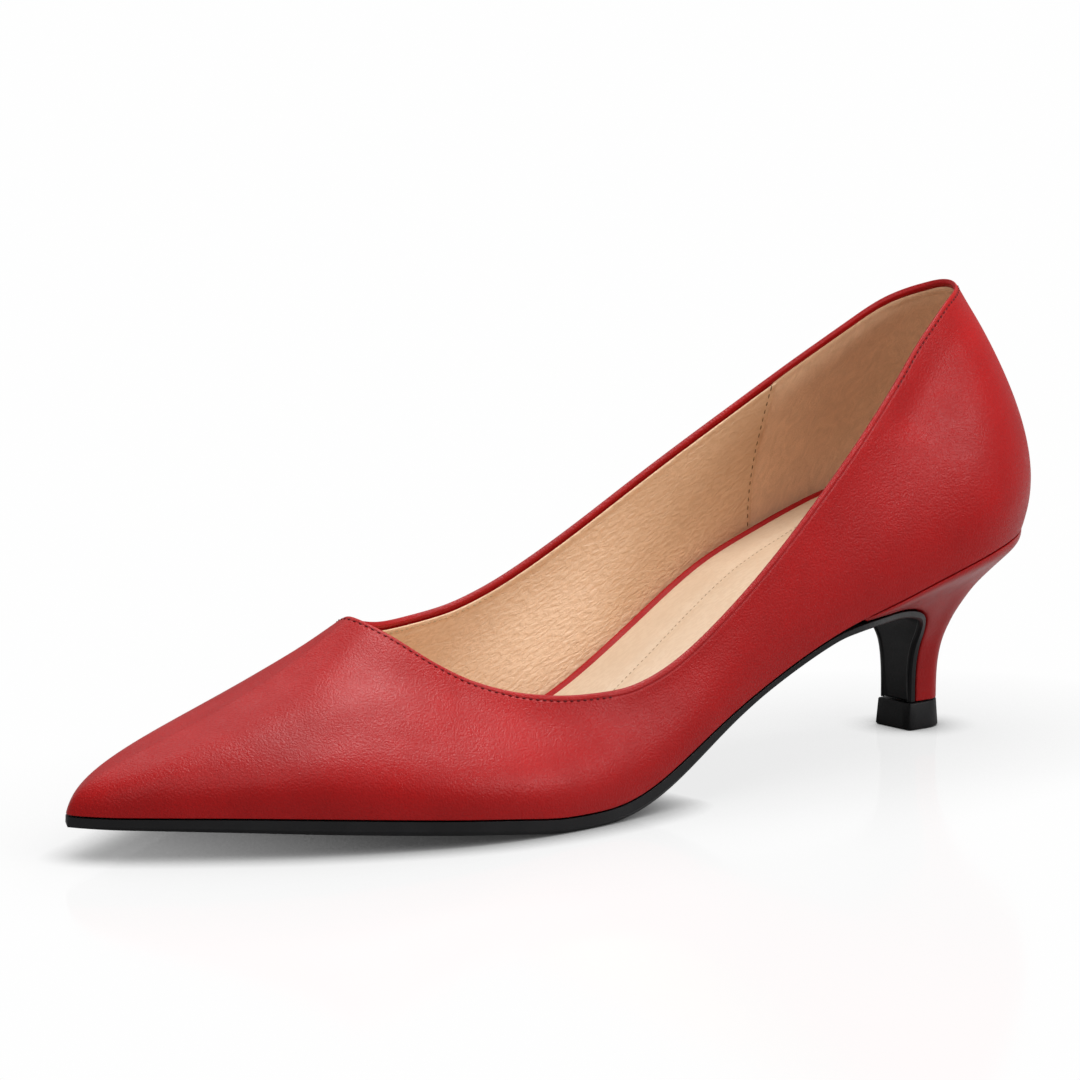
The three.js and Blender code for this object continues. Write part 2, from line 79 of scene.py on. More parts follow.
# A line through the inside of the shoe falls from a height at the heel to one at the toe, between two
# shares of the shoe's length
AXIS_HEEL, AXIS_TOE = 58 * MM, 12 * MM
AXIS_FALL, AXIS_LEVEL = 0.15, 0.65

# The seam between the lining and the heel grip bows forward in the middle of its height
SEAM_X = -75.4 * MM
SEAM_MIDDLE = 45 * MM
SEAM_REACH = 32 * MM
SEAM_BOW = 2.2 * MM
SEAM_LOW = 20 * MM
SEAM_STEP = 0.5 * MM
SEAM_STEPS = 120

# The topline on the wearer's right is a little higher beside the throat, in full this far from the
# shoe's middle
THROAT_LIFT = 1.8 * MM
THROAT_LIFT_X = 39 * MM
THROAT_LIFT_REACH = 10.5 * MM
THROAT_LIFT_DEPTH = 16 * MM
THROAT_LIFT_SIDE = 6 * MM

# The topline is stitched in front of VAMP_STITCHES and behind COLLAR_STITCHES, the lining's top
# edge in front of LINING_STITCHES
VAMP_STITCHES = 12 * MM
COLLAR_STITCHES = -79 * MM
LINING_STITCHES = -2 * MM

# The sock's stitch line from its front round the heel's right side to the back, and its middle line,
# in millimetres from the middle of the shoe's box
SOCK_LINE = [(1, 5), (-24, -1.5), (-50, -8), (-74, -13), (-91, -14), (-104, -9.5), (-110, 0)]
SOCK_MIDDLE = [(1, 5), (-60, 1.5), (-110, 0)]

# The sole has raised edges behind this place, on faces that are wider than the least width
WAIST_FRONT = -12 * MM
LEAST_PANEL = 8 * MM

# Camera, seen from the middle of the shoe: turned from the shoe's left towards its toe, and lifted
VIEW_TURN = math.radians(40.1)
VIEW_LIFT = math.radians(10.1)
VIEW_DISTANCE = 1.8332
VIEW_TARGET = Vector((6.12, -1.1, 53.75)) * MM
VIEW_LENS = 287.7

# The floor is a glowing sheet with painted shadow: how bright, how glossy, and how near a thing paints
# shadow on it
FLOOR_GLOW = 1.09
FLOOR_GLOSS = 0.12
NEAR_SHADE_REACH = 9.5 * MM
WIDE_SHADE_REACH = 60 * MM
FLOOR_RADIUS = 6

# Soft round lights: name, place and the place that it faces in metres, size in metres, and watts
WORLD_LIGHT = 0.35
LIGHTS = [
    ("overhead", (-0.45, 0.03, 1.45), (0, 0, 0.03), 0.8, 20),
    ("side", (-0.74, 0.94, 0.71), (-0.05, 0, 0.05), 0.35, 6.2),
    ("back", (-0.16, -0.89, 1.12), (0, 0, 0.05), 0.6, 2.5),
    ("front", (0.6, 0.74, 1.2), (0, 0, 0.05), 0.7, 5),
]


def length(name, description, default):
    """A length that a user may change, in metres."""
    return FloatProperty(
        name=name, description=description, default=default, min=0, precision=5, unit="LENGTH"
    )


def colour(name, description, default):
    """A linear colour that a user may change."""
    return FloatVectorProperty(
        name=name, description=description, default=default, size=3, min=0, max=1, subtype="COLOR"
    )


class PumpSizes(bpy.types.PropertyGroup):
    """Sizes of what is sewn and glued onto the solids."""

    fold_thickness: length("Fold thickness", "Leather folded over the topline", 1.2 * MM)
    fold_depth: length("Fold depth", "How far the fold reaches down the inside", 0.8 * MM)
    rim_lift: length("Rim lift", "Height given back to the rim, which smoothing lowers", 0.25 * MM)
    leather_thickness: length("Leather thickness", "Upper leather and stiffener", 1.0 * MM)
    lining_thickness: length("Lining thickness", "Lining leather", 0.5 * MM)
    grip_thickness: length("Grip thickness", "Napped leather round the heel", 0.35 * MM)
    lining_proud: length("Lining proud", "How far the lining lies inside the wall", 0.05 * MM)
    lap_width: length("Lap width", "The lining's back edge over the heel grip", 1.2 * MM)
    seam_margin: length("Seam margin", "Stitches to the lining's back edge", 1.25 * MM)
    edge_margin: length("Edge margin", "Stitches to the topline", 0.75 * MM)
    sock_crown: length("Sock crown", "Rise of the sock's padding", 0.3 * MM)
    sock_dent: length("Sock dent", "Depth of the sock's stitched channel", 0.3 * MM)
    stitch_pitch: length("Stitch pitch", "From one stitch to the next", 1.55 * MM)
    seam_pitch: length("Seam pitch", "From one stitch of the lining to the next", 1.85 * MM)
    thread: length("Thread", "Thickness of the thread", 0.36 * MM)
    sole_bead: length("Sole bead", "Width of the sole's raised edge at the waist", 0.6 * MM)
    panel_sink: length("Panel sink", "Depth of the sole between its raised edges", 0.25 * MM)


class PumpColours(bpy.types.PropertyGroup):
    """Colours of the leathers, the sole and the threads."""

    red: colour("Red leather", "Upper and heel cover", (0.40, 0.0045, 0.0050))
    deep_red: colour("Deep red", "Darker patches of the red leather", (0.31, 0.0030, 0.0034))
    lining: colour("Lining", "Front and quarter lining", (0.78, 0.50, 0.295))
    grip: colour("Heel grip", "Lining round the heel", (0.90, 0.57, 0.345))
    sock: colour("Sock", "Sock lining", (0.70, 0.53, 0.37))
    black: colour("Black", "Sole and top piece", (0.006, 0.006, 0.0066))
    red_thread: colour("Red thread", "Stitches of the topline", (0.12, 0.005, 0.007))
    tan_thread: colour("Tan thread", "Stitches of the lining", (0.22, 0.115, 0.055))
    lining_thread: colour("Lining thread", "Stitches below the topline", (0.62, 0.42, 0.24))
    pale_thread: colour("Pale thread", "Stitches of the sock", (0.50, 0.36, 0.24))
    floor: colour("Floor", "Studio floor", (0.36, 0.36, 0.36))


def sizes():
    """The size settings of this scene."""
    return bpy.context.scene.pump_sizes


def colours():
    """The colour settings of this scene."""
    return bpy.context.scene.pump_colours


# Handling of objects

def pick(*pieces):
    """Selects these objects alone and makes the first one active."""
    if bpy.context.mode != "OBJECT":
        bpy.ops.object.mode_set(mode="OBJECT")
    bpy.ops.object.select_all(action="DESELECT")
    for piece in pieces:
        piece.select_set(True)
    bpy.context.view_layer.objects.active = pieces[0]


def copy_of_solid(node, name):
    """A merged copy of a solid of the frame, as an object of its own."""
    piece = bpy.data.objects.new(name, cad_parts[node].data.copy())
    piece.data.name = name
    piece.data.materials.clear()
    bpy.context.scene.collection.objects.link(piece)
    pick(piece)
    bpy.ops.object.mode_set(mode="EDIT")
    bpy.ops.mesh.select_all(action="SELECT")
    bpy.ops.mesh.remove_doubles(threshold=0.01 * MM)
    bpy.ops.object.mode_set(mode="OBJECT")
    return piece


def duplicate(piece, name):
    """A copy of an object with its own mesh."""
    twin = piece.copy()
    twin.data = piece.data.copy()
    twin.name = twin.data.name = name
    bpy.context.scene.collection.objects.link(twin)
    return twin


@contextmanager
def editing(piece, kind="VERT"):
    """Edit mode with nothing selected. Gives the edit mesh."""
    pick(piece)
    bpy.ops.object.mode_set(mode="EDIT")
    bpy.ops.mesh.select_mode(type=kind)
    bpy.ops.mesh.select_all(action="DESELECT")
    yield bmesh.from_edit_mesh(piece.data)
    bpy.ops.object.mode_set(mode="OBJECT")


def choose(piece, items):
    """Selects these parts of the mesh that is being edited."""
    bm = bmesh.from_edit_mesh(piece.data)
    for item in items:
        item.select_set(True)
    bm.select_flush_mode()
    bmesh.update_edit_mesh(piece.data)


def finish_with(piece, kind, **settings):
    """Adds a modifier with these settings and applies it."""
    pick(piece)
    modifier = piece.modifiers.new(kind.title(), kind)
    for name, value in settings.items():
        setattr(modifier, name, value)
    bpy.ops.object.modifier_apply(modifier=modifier.name)


def smooth_surface(piece):
    """Subdivides a piece smoothly, twice."""
    finish_with(piece, "SUBSURF", levels=2, render_levels=2)


def round_edges(piece, width, angle):
    """Rounds the edges that turn by more than an angle in degrees."""
    finish_with(
        piece, "BEVEL", width=width, segments=2, limit_method="ANGLE",
        angle_limit=math.radians(angle), use_clamp_overlap=True,
    )


def quads_of(piece):
    """Turns the triangles of a piece into four-sided faces that follow its rings."""
    with editing(piece, "FACE"):
        bpy.ops.mesh.select_all(action="SELECT")
        bpy.ops.mesh.tris_convert_to_quads(
            face_threshold=math.pi, shape_threshold=math.pi, topology_influence=1.3
        )


def settle(piece, material, stands_for=(), sharp_angle=40):
    """Shades a finished piece, gives it its material and ties it to the frame."""
    pick(piece)
    bpy.ops.object.shade_smooth_by_angle(angle=math.radians(sharp_angle))
    piece.data.materials.clear()
    piece.data.materials.append(material)
    if stands_for:
        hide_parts(*stands_for)
    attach(piece, BODY)


def surface_of(piece, inside=False):
    """The piece's faces, or those that face the inside of the shoe, for the nearest place on them."""
    mesh = piece.data
    faces = [
        face.vertices for face in mesh.polygons
        if not inside or (middle_line(face.center.x) - face.center).dot(face.normal) > 0
    ]
    return BVHTree.FromPolygons([v.co for v in mesh.vertices], faces)


# Rings of the upper

def edges_around(vert, first):
    """The edges at a vertex of a closed mesh, in turn from the first."""
    found = [first]
    face = first.link_faces[0]
    while True:
        edge = next(e for e in face.edges if vert in e.verts and e is not found[-1])
        if edge is first:
            return found
        found.append(edge)
        face = next(f for f in edge.link_faces if f is not face)


def line_from(vert, edge):
    """The closed line of vertices that runs straight on along an edge."""
    line = [vert]
    while True:
        vert = edge.other_vert(vert)
        if vert is line[0]:
            return line
        line.append(vert)
        around = edges_around(vert, edge)
        edge = around[len(around) // 2]


def rings_of(bm):
    """The rings of the upper from its rim inwards, each from the middle of the back to the left."""
    start = max(bm.verts, key=lambda v: v.co.z)

    def step(vert, edge):
        return (edge.other_vert(vert).co - vert.co).normalized()

    inward = [e for e in start.link_edges if step(start, e).x > 0]
    column = line_from(start, min(inward, key=lambda e: abs(step(start, e).y)))
    rings = []
    for vert in column:
        sideways = max(vert.link_edges, key=lambda e: step(vert, e).y)
        rings.append(line_from(vert, sideways))
    if any(len(ring) != COLUMN_COUNT for ring in rings):
        raise RuntimeError("the upper's solid isn't made of rings")
    return rings


def ringed_upper(name):
    """A copy of the upper's solid with the diagonals of its faces taken out."""
    piece = copy_of_solid("upper", name)
    with editing(piece, "EDGE") as bm:
        rings = rings_of(bm)
        kept = set()
        for ring, following in zip(rings, rings[1:] + rings[:1]):
            for index, vert in enumerate(ring):
                for other in (ring[index - 1], following[index]):
                    kept.add(frozenset((vert.index, other.index)))
        choose(piece, [
            e for e in bm.edges if frozenset((e.verts[0].index, e.verts[1].index)) not in kept
        ])
        bpy.ops.mesh.dissolve_edges(use_verts=False)
    with editing(piece) as bm:
        for column in zip(*rings_of(bm)):
            rim = column[RIM].co.copy()
            side = min(max(-rim.y / THROAT_LIFT_SIDE, 0), 1)
            away = (rim.x - THROAT_LIFT_X) / THROAT_LIFT_REACH
            lift = THROAT_LIFT * side * math.exp(-(away ** 2))
            for vert in column:
                below = (rim.z - vert.co.z) / THROAT_LIFT_DEPTH
                vert.co.z += lift * max(1 - below, 0)
        bmesh.update_edit_mesh(piece.data)
    return piece


def cut_rings(piece, cuts):
    """Adds rings between the inner top and the ring below it."""
    with editing(piece, "EDGE") as bm:
        rings = rings_of(bm)
        rungs = [
            bm.edges.get((rings[INNER_TOP][i], rings[SECOND_INNER][i]))
            for i in range(COLUMN_COUNT)
        ]
        choose(piece, rungs)
        bpy.ops.mesh.subdivide(number_cuts=cuts)


def lay_rings(piece, profile, top_depth):
    """Slides the rings that were added to distances below the rim and depths in the wall."""
    with editing(piece) as bm:
        rings = rings_of(bm)
        below = rings[SECOND_INNER + len(profile)]
        for index in range(COLUMN_COUNT):
            outer = rings[OUTER_TOP][index].co
            inner = rings[INNER_TOP][index].co.copy()
            across = (inner - outer).normalized()
            down = (below[index].co - inner).normalized()
            wall = (inner - outer).length
            for ring, (distance, depth) in zip(rings[SECOND_INNER:], profile):
                ring[index].co = inner + down * distance + across * (depth - wall)
            rings[INNER_TOP][index].co = outer + across * top_depth
            rings[RIM][index].co += across * (top_depth - wall) / 2
            rings[RIM][index].co.z += sizes().rim_lift
        bmesh.update_edit_mesh(piece.data)


def line_beside(piece, ring, toward, distance):
    """A closed line at a distance from one ring, towards another."""
    with editing(piece) as bm:
        rings = rings_of(bm)
        line = []
        for near, far in zip(rings[ring], rings[toward]):
            line.append(near.co + (far.co - near.co).normalized() * distance)
    return finer(line, 2)


def finer(line, times=1):
    """A closed line with a place added between every two, on a smooth curve through them all."""
    for _ in range(times):
        found = []
        for index, place in enumerate(line):
            before = line[index - 1]
            after = line[(index + 1) % len(line)]
            beyond = line[(index + 2) % len(line)]
            found += [place, (9 * (place + after) - before - beyond) / 16]
        line = found
    return line


# Soft forms of the leather

class Hollow:
    """A soft trough, or a ridge where its depth is negative, along a line of places."""

    def __init__(self, places, width, depth):
        self.places = [Vector(place) * MM for place in places]
        self.width = width * MM
        self.depth = depth * MM

    def at(self, place):
        """Depth of the trough at a place. It runs out at both ends of its line."""
        nearest = math.inf
        for start, end in zip(self.places, self.places[1:]):
            line = end - start
            along = (place - start).dot(line) / line.length_squared
            nearest = min(nearest, (place - start - line * min(max(along, 0), 1)).length)
        return self.depth * math.exp(-((nearest / self.width) ** 2))


def mirrored(places):
    """The same places on the other side of the shoe."""
    return [(x, -y, z) for x, y, z in places]


# Places are millimetres from the middle of the shoe's box, on the floor
COLLAR_TROUGH = [(-110, 7, 94), (-97, 15, 86), (-81, 20, 74)]
COUNTER_RIDGE = [(-108, 19, 80), (-100, 24, 72), (-90, 27, 64)]
THROAT_DENT = [(61, 13, 35), (54, 16, 32), (47, 21, 30)]
VAMP_RIDGE = [(74, 17, 28), (58, 25, 25), (42, 32, 22)]
BACK_SEAM = [(-117, 0, 96), (-124, 0, 74), (-126, 0, 58), (-125, 0, 47)]
HOLLOWS = [
    Hollow(COLLAR_TROUGH, 4.0, 0.55),
    Hollow(mirrored(COLLAR_TROUGH), 4.0, 0.45),
    Hollow(COUNTER_RIDGE, 8.0, -0.4),
    Hollow(THROAT_DENT, 6.0, 0.45),
    Hollow(mirrored(THROAT_DENT), 6.0, 0.35),
    Hollow(VAMP_RIDGE, 7.0, -0.35),
    Hollow(BACK_SEAM, 0.7, 0.3),
]


def middle_line(x):
    """A place inside the shoe, across from which the leather is pushed in or out."""
    share = (x - UPPER_LOW.x) / SHOE_LENGTH
    fallen = min(max((share - AXIS_FALL) / (AXIS_LEVEL - AXIS_FALL), 0), 1)
    return Vector((x, 0, AXIS_HEEL + (AXIS_TOE - AXIS_HEEL) * fallen))


def press_hollows(piece):
    """Pushes the soft troughs and ridges into a piece."""
    for vert in piece.data.vertices:
        depth = sum(hollow.at(vert.co) for hollow in HOLLOWS)
        if abs(depth) > 0.001 * MM:
            vert.co -= (vert.co - middle_line(vert.co.x)).normalized() * depth


# Stitches

def spaced(line, pitch, closed):
    """Places along a line at equal steps, each with the line's direction there."""
    found = []
    left = pitch / 2
    for start, end in zip(line, line[1:] + (line[:1] if closed else [])):
        step = end - start
        while left <= step.length:
            found.append((start + step.normalized() * left, step.normalized()))
            left += pitch
        left -= step.length
    return found


def stitch_model(stitch_length, thread):
    """One stitch along X: a thread that comes out of the leather and dips back into it."""
    bpy.ops.mesh.primitive_uv_sphere_add(segments=6, ring_count=6, radius=0.5)
    model = bpy.context.object
    with editing(model):
        bpy.ops.mesh.select_all(action="SELECT")
        bpy.ops.transform.rotate(value=math.pi / 2, orient_axis="Y", center_override=(0, 0, 0))
        bpy.ops.transform.resize(value=(stitch_length, thread, thread))
    for vert in model.data.vertices:
        vert.co.z -= 0.7 * thread * (2 * vert.co.x / stitch_length) ** 2
    return model


def sew(name, material, rows, thread=None, pitch=None):
    """Sews rows of stitches. A row is its line, the surface under it, closed or not and where."""
    thread = thread or sizes().thread
    pitch = pitch or sizes().stitch_pitch
    model = stitch_model(0.8 * pitch, thread)
    copies = []
    for line, surface, closed, wanted in rows:
        for place, along in spaced(line, pitch, closed):
            if not wanted(place):
                continue
            seat, normal, _, _ = surface.find_nearest(place)
            across = normal.cross(along).normalized()
            turn = Matrix((across.cross(normal), across, normal)).transposed().to_4x4()
            copy = duplicate(model, name)
            copy.data.transform(Matrix.Translation(seat + normal * 0.05 * thread) @ turn)
            copies.append(copy)
    bpy.data.objects.remove(model)
    pick(*copies)
    bpy.ops.object.join()
    seam = bpy.context.object
    seam.name = seam.data.name = name
    settle(seam, material)


def everywhere(place):
    """A row that is sewn from end to end."""
    return True


# Materials

class Shading:
    """The nodes of one material, each added by a short call."""

    def __init__(self, name, **sockets):
        self.material = bpy.data.materials.new(name)
        self.material.use_nodes = True
        self.tree = self.material.node_tree
        self.surface = next(n for n in self.tree.nodes if n.type == "BSDF_PRINCIPLED")
        self.place = self.add("ShaderNodeTexCoord").outputs["Object"]
        for socket, value in sockets.items():
            self.surface.inputs[socket.replace("_", " ")].default_value = value

    def add(self, kind, inputs=None, **settings):
        """A node with these settings and inputs, which are values or other nodes' outputs."""
        node = self.tree.nodes.new(kind)
        for name, value in settings.items():
            setattr(node, name, value)
        for name, value in (inputs or {}).items():
            if isinstance(value, bpy.types.NodeSocket):
                self.tree.links.new(value, node.inputs[name])
            else:
                node.inputs[name].default_value = value
        return node

    def link(self, output, socket):
        """Feeds a socket of the surface."""
        self.tree.links.new(output, self.surface.inputs[socket])

    def noise(self, scale, detail=3.0, roughness=0.5, distortion=0.0, place=None):
        """Cloudy noise from 0 to 1."""
        node = self.add("ShaderNodeTexNoise", {
            "Vector": place or self.place, "Scale": scale, "Detail": detail,
            "Roughness": roughness, "Distortion": distortion,
        })
        return node.outputs["Fac"]

    def stretched(self, turn, scale):
        """The place, turned by degrees and stretched, for a pattern that runs one way."""
        node = self.add(
            "ShaderNodeMapping", {"Vector": self.place, "Scale": scale}, vector_type="TEXTURE"
        )
        node.inputs["Rotation"].default_value = [math.radians(angle) for angle in turn]
        return node.outputs["Vector"]

    def ranged(self, value, low, high, to_low=0.0, to_high=1.0):
        """A value mapped from one range to another."""
        node = self.add("ShaderNodeMapRange", {
            "Value": value, "From Min": low, "From Max": high, "To Min": to_low, "To Max": to_high,
        })
        return node.outputs["Result"]

    def sum_of(self, first, second, operation="ADD"):
        """Two values added, or put together in another way."""
        node = self.add("ShaderNodeMath", {0: first, 1: second}, operation=operation)
        return node.outputs[0]

    def blend(self, share, first, second):
        """Two colours mixed."""
        node = self.add("ShaderNodeMix", {"Factor": share}, data_type="RGBA")
        for socket, value in ((6, first), (7, second)):
            if isinstance(value, bpy.types.NodeSocket):
                self.tree.links.new(value, node.inputs[socket])
            else:
                node.inputs[socket].default_value = (*value, 1)
        return node.outputs[2]

    def warped(self, scale, amount, place=None):
        """The place, shifted by noise so that a pattern on it isn't regular."""
        place = place or self.place
        node = self.add("ShaderNodeTexNoise", {"Vector": place, "Scale": scale, "Detail": 2.0})
        centred = self.add("ShaderNodeVectorMath", {0: node.outputs["Color"], 1: (0.5, 0.5, 0.5)},
                           operation="SUBTRACT")
        shift = self.add("ShaderNodeVectorMath", {0: centred.outputs[0], "Scale": amount},
                         operation="SCALE")
        moved = self.add("ShaderNodeVectorMath", {0: place, 1: shift.outputs[0]},
                         operation="ADD")
        return moved.outputs[0]

    def attribute(self, name):
        """A value that the piece's own mesh holds."""
        return self.add("ShaderNodeAttribute", attribute_name=name).outputs["Fac"]

    def open_share(self, reach):
        """How much of the space above a place is free within a reach."""
        node = self.add("ShaderNodeAmbientOcclusion", {"Distance": reach}, samples=4)
        return node.outputs["AO"]

    def bump(self, height, distance, strength=1.0, under=None):
        """Relief of a height from 0 to 1, over another relief."""
        inputs = {"Height": height, "Distance": distance, "Strength": strength}
        if under:
            inputs["Normal"] = under
        return self.add("ShaderNodeBump", inputs).outputs["Normal"]


def red_leather(name, grain_depth, roughness, stitched=False):
    """Smooth red leather with a fine wrinkled grain."""
    tones = colours()
    look = Shading(name, Specular_IOR_Level=0.21)
    wrinkles = look.noise(2200.0, detail=2.0, distortion=0.3, place=look.warped(300.0, 0.6 * MM))
    grain = look.ranged(wrinkles, 0.32, 0.68)
    mottle = look.ranged(look.noise(38.0, detail=4.0, roughness=0.6), 0.35, 0.75)
    patchy = look.blend(mottle, tones.red, tones.deep_red)
    valley = look.ranged(grain, 0.0, 0.6, 0.5, 0.0)
    tone = look.blend(valley, patchy, tones.deep_red)
    patches = look.noise(150.0)
    look.link(look.ranged(patches, 0.3, 0.7, roughness - 0.04, roughness + 0.05), "Roughness")
    relief = look.bump(look.noise(70.0, detail=2.0), 0.5 * MM, 0.25)
    if stitched:
        gap = look.sum_of(look.attribute("below_topline"), sizes().edge_margin, "SUBTRACT")
        groove_and_shade = look.ranged(look.sum_of(gap, 0.0, "ABSOLUTE"), 0.0, 0.4 * MM)
        relief = look.bump(groove_and_shade, 0.10 * MM, 1.0, relief)
        # Painted shade of the groove under the topline: darkened towards the thread's colour all along
        # the topline, also where no stitches are sewn
        tone = look.blend(look.ranged(groove_and_shade, 0.0, 1.0, 0.25, 0.0), tone, tones.red_thread)
    look.link(tone, "Base Color")
    look.link(look.bump(grain, grain_depth, 1.0, relief), "Normal")
    return look.material


def lining_leather(name, tone, grain_depth, roughness):
    """Undyed lining leather, whose grain runs along the shoe in short wrinkles."""
    look = Shading(name, Specular_IOR_Level=0.9)
    along = look.stretched((0, 25, 0), (2.8, 1.0, 1.0))
    warped = look.warped(300.0, 0.9 * MM, along)
    wrinkles = look.ranged(
        look.noise(1500.0, detail=2.0, distortion=0.3, place=warped), 0.32, 0.68
    )
    pores = look.noise(2600.0, detail=2.0)
    grain = look.sum_of(wrinkles, look.ranged(pores, 0.0, 1.0, -0.1, 0.1))
    mottle = look.ranged(look.noise(45.0, detail=4.0, roughness=0.6), 0.3, 0.75)
    darker = [0.88 * tone[0], 0.83 * tone[1], 0.78 * tone[2]]
    patchy = look.blend(mottle, tone, darker)
    valley = look.ranged(grain, 0.35, 0.6, 0.7, 0.0)
    look.link(look.blend(valley, patchy, darker), "Base Color")
    patches = look.noise(120.0)
    look.link(look.ranged(patches, 0.3, 0.7, roughness - 0.06, roughness + 0.06), "Roughness")
    look.link(look.bump(grain, grain_depth), "Normal")
    return look.material


def suede(name, tone):
    """Napped leather of the heel grip."""
    look = Shading(name, Roughness=0.92, Sheen_Weight=0.3, Sheen_Roughness=0.5,
                   Specular_IOR_Level=0.2)
    nap = look.noise(2200.0, detail=6.0, roughness=0.75)
    strokes = look.noise(
        420.0, detail=4.0, roughness=0.6, distortion=1.5,
        place=look.stretched((0, 60, 0), (2.5, 1.0, 1.0)),
    )
    darker = [0.72 * tone[0], 0.68 * tone[1], 0.64 * tone[2]]
    patchy = look.blend(look.ranged(strokes, 0.35, 0.7, 0.0, 0.6), tone, darker)
    look.link(look.blend(look.ranged(nap, 0.3, 0.7, 0.35, 0.0), patchy, darker), "Base Color")
    raised = look.bump(strokes, 0.25 * MM, 0.6)
    look.link(look.bump(nap, 0.2 * MM, 0.8, raised), "Normal")
    return look.material


def black_rubber(name, roughness):
    """Black sole material with a faint texture."""
    look = Shading(name, Specular_IOR_Level=0.24)
    fine = look.noise(1500.0, detail=4.0, roughness=0.6)
    wear = look.ranged(look.noise(90.0, detail=5.0, roughness=0.6), 0.4, 0.75)
    tone = colours().black
    look.link(look.blend(wear, tone, [1.8 * part for part in tone]), "Base Color")
    look.link(look.ranged(fine, 0.3, 0.7, roughness - 0.05, roughness + 0.07), "Roughness")
    look.link(look.bump(fine, 0.06 * MM, 0.6), "Normal")
    return look.material


def sewing_thread(name, tone):
    """Twisted thread."""
    look = Shading(name, Roughness=0.7, Specular_IOR_Level=0.2)
    twist = look.noise(5000.0, detail=2.0)
    look.link(look.blend(twist, tone, [0.6 * part for part in tone]), "Base Color")
    look.link(look.bump(twist, 0.05 * MM, 0.5), "Normal")
    return look.material


# Pieces

class PUMP_OT_upper(bpy.types.Operator):
    """Makes the upper's red leather, folded over the topline and stitched"""

    bl_idname = "pump.upper"
    bl_label = "Upper leather"

    def execute(self, context):
        size = sizes()
        piece = ringed_upper("upper_leather")
        fold = size.fold_depth
        thin, thick = size.leather_thickness, size.fold_thickness
        cut_rings(piece, FOLD_CUTS)
        lay_rings(piece, [
            (0.35 * fold, thick), (0.88 * fold, thick), (fold, 0.4 * thin + 0.6 * thick),
            (1.05 * fold, thin),
        ], thick)
        topline = line_beside(piece, OUTER_TOP, SECOND_OUTER, 0)
        stitch_line = line_beside(piece, OUTER_TOP, SECOND_OUTER, size.edge_margin)
        with editing(piece) as bm:
            rings = rings_of(bm)
            inner = [vert for ring in rings[6:INNER_FOOT + FOLD_CUTS + 1] for vert in ring]
            moves = [(vert, vert.normal * (thin - WALL)) for vert in inner]
            for vert, move in moves:
                vert.co += move
            bmesh.update_edit_mesh(piece.data)
        with editing(piece, "EDGE") as bm:
            foot = rings_of(bm)[FOOT + FOLD_CUTS]
            choose(piece, [bm.edges.get((foot[i - 1], foot[i])) for i in range(COLUMN_COUNT)])
            bpy.ops.mesh.bevel(offset=0.25 * MM, segments=2, affect="EDGES")
        smooth_surface(piece)
        press_hollows(piece)
        self.measure(piece, topline)
        settle(piece, red_leather("red_leather", 0.05 * MM, 0.38, True), ["upper"])
        sew("topline_stitches", sewing_thread("red_thread", colours().red_thread), [
            (stitch_line, surface_of(piece), True,
             lambda place: place.x > VAMP_STITCHES or place.x < COLLAR_STITCHES),
        ])
        return {"FINISHED"}

    def measure(self, piece, topline):
        """Keeps each vertex's distance from the topline in the mesh."""
        tree = KDTree(4 * len(topline))
        for index, place in enumerate(finer(topline, 2)):
            tree.insert(place, index)
        tree.balance()
        below = piece.data.attributes.new("below_topline", "FLOAT", "POINT")
        for vert in piece.data.vertices:
            below.data[vert.index].value = tree.find(vert.co)[2]


def seam_bow(place):
    """How far the lining's back seam lies behind its foremost place at the height of a place."""
    return SEAM_BOW * ((place.z - SEAM_MIDDLE) / SEAM_REACH) ** 2


def cut_at_seam(piece, shift, keep_front):
    """Keeps the part of a lining in front of the seam or behind it, and this far past it."""
    with editing(piece) as bm:
        for vert in bm.verts:
            vert.co.x += seam_bow(vert.co)
        bpy.ops.mesh.select_all(action="SELECT")
        bpy.ops.mesh.bisect(
            plane_co=(SEAM_X + shift, 0, 0), plane_no=(1, 0, 0),
            clear_inner=keep_front, clear_outer=not keep_front,
        )
        bm = bmesh.from_edit_mesh(piece.data)
        for vert in bm.verts:
            vert.co.x -= seam_bow(vert.co)
        bmesh.update_edit_mesh(piece.data)


def seam_line(surface, side, ahead):
    """The line up the lining on one side, this far in front of the seam."""
    line = []
    for step in range(SEAM_STEPS):
        place = Vector((0, 0, SEAM_LOW + SEAM_STEP * step))
        place.x = SEAM_X - seam_bow(place) + ahead
        hit = surface.ray_cast(place, Vector((0, side, 0)))[0]
        if hit:
            line.append(hit)
    return line


